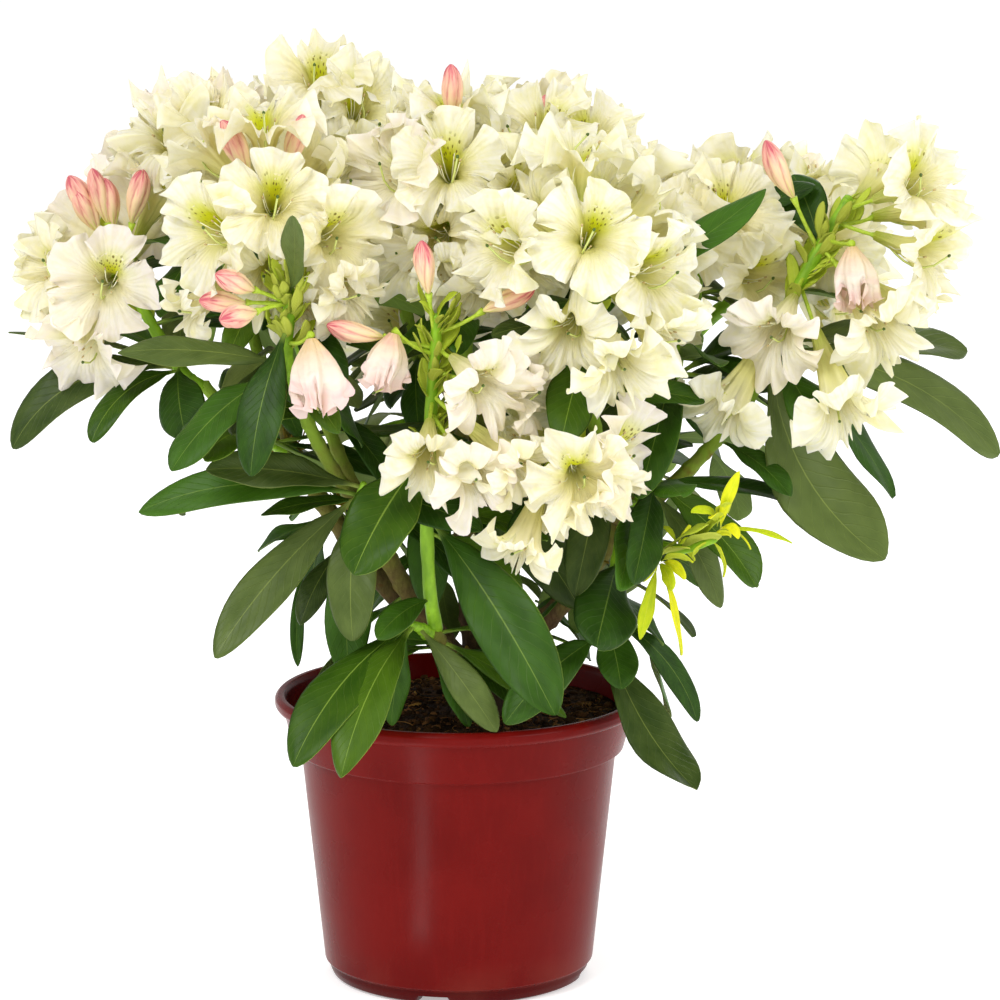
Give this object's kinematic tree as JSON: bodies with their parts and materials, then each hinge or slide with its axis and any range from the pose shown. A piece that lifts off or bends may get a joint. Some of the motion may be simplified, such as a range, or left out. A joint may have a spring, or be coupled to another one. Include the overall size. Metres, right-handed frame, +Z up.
{
  "type": "potted rhododendron",
  "caption": "Evergreen flowering shrub in a round plastic nursery pot: compost, short trunk, forking limbs, leathery leaf whorls and full trusses of ruffled cream flowers.",
  "frame": {"origin": "centre of the pot's flat underside, on the surface it stands on", "axes": "+Z up, -Y towards the plant's front, +X to the right seen from the front"},
  "size_m": [0.6192, 0.4184, 0.5816],
  "materials": {
    "moulded_polypropylene": "smooth, glossy, moulded",
    "moist_peat_compost": "matt, crumbly",
    "rhododendron_bark": "matt, finely cracked",
    "flower_truss": "soft, matt petals",
    "leafy_shoot": "leathery, satin"
  },
  "bodies": {
    "root": {"pot": "moulded_polypropylene", "compost": "moist_peat_compost", "trunk": "rhododendron_bark", "limb_front": "rhododendron_bark", "limb_left": "rhododendron_bark", "limb_far_left": "rhododendron_bark", "limb_centre": "rhododendron_bark", "limb_right": "rhododendron_bark", "limb_back": "rhododendron_bark", "limb_left_front": "rhododendron_bark", "limb_left_inner": "rhododendron_bark", "limb_left_tip": "rhododendron_bark", "limb_left_back": "rhododendron_bark", "limb_centre_front": "rhododendron_bark", "limb_centre_back": "rhododendron_bark", "limb_centre_right": "rhododendron_bark", "limb_right_front": "rhododendron_bark", "limb_right_out": "rhododendron_bark", "limb_right_up": "rhododendron_bark", "limb_back_right": "rhododendron_bark", "limb_back_low": "rhododendron_bark", "truss_left": "flower_truss", "truss_left_front": "flower_truss", "truss_low_centre": "flower_truss", "truss_front_left": "flower_truss", "truss_upper_left": "flower_truss", "truss_back_left": "flower_truss", "truss_top_left": "flower_truss", "truss_back": "flower_truss", "truss_centre": "flower_truss", "truss_top_right": "flower_truss", "truss_back_right": "flower_truss", "truss_front_right": "flower_truss", "truss_right_mid": "flower_truss", "truss_right": "flower_truss", "truss_back_far_right": "flower_truss", "truss_low_back": "flower_truss", "truss_low_right": "flower_truss", "leaves_left_low": "leafy_shoot", "leaves_front_low": "leafy_shoot", "leaves_right_low": "leafy_shoot", "leaves_right": "leafy_shoot", "late_shoot_right": "leafy_shoot", "leaves_far_left": "leafy_shoot", "leaves_centre": "leafy_shoot", "leaves_right_up": "leafy_shoot", "leaves_back_left": "leafy_shoot", "leaves_back_right": "leafy_shoot", "leaves_back": "leafy_shoot"}
  },
  "joints": []
}
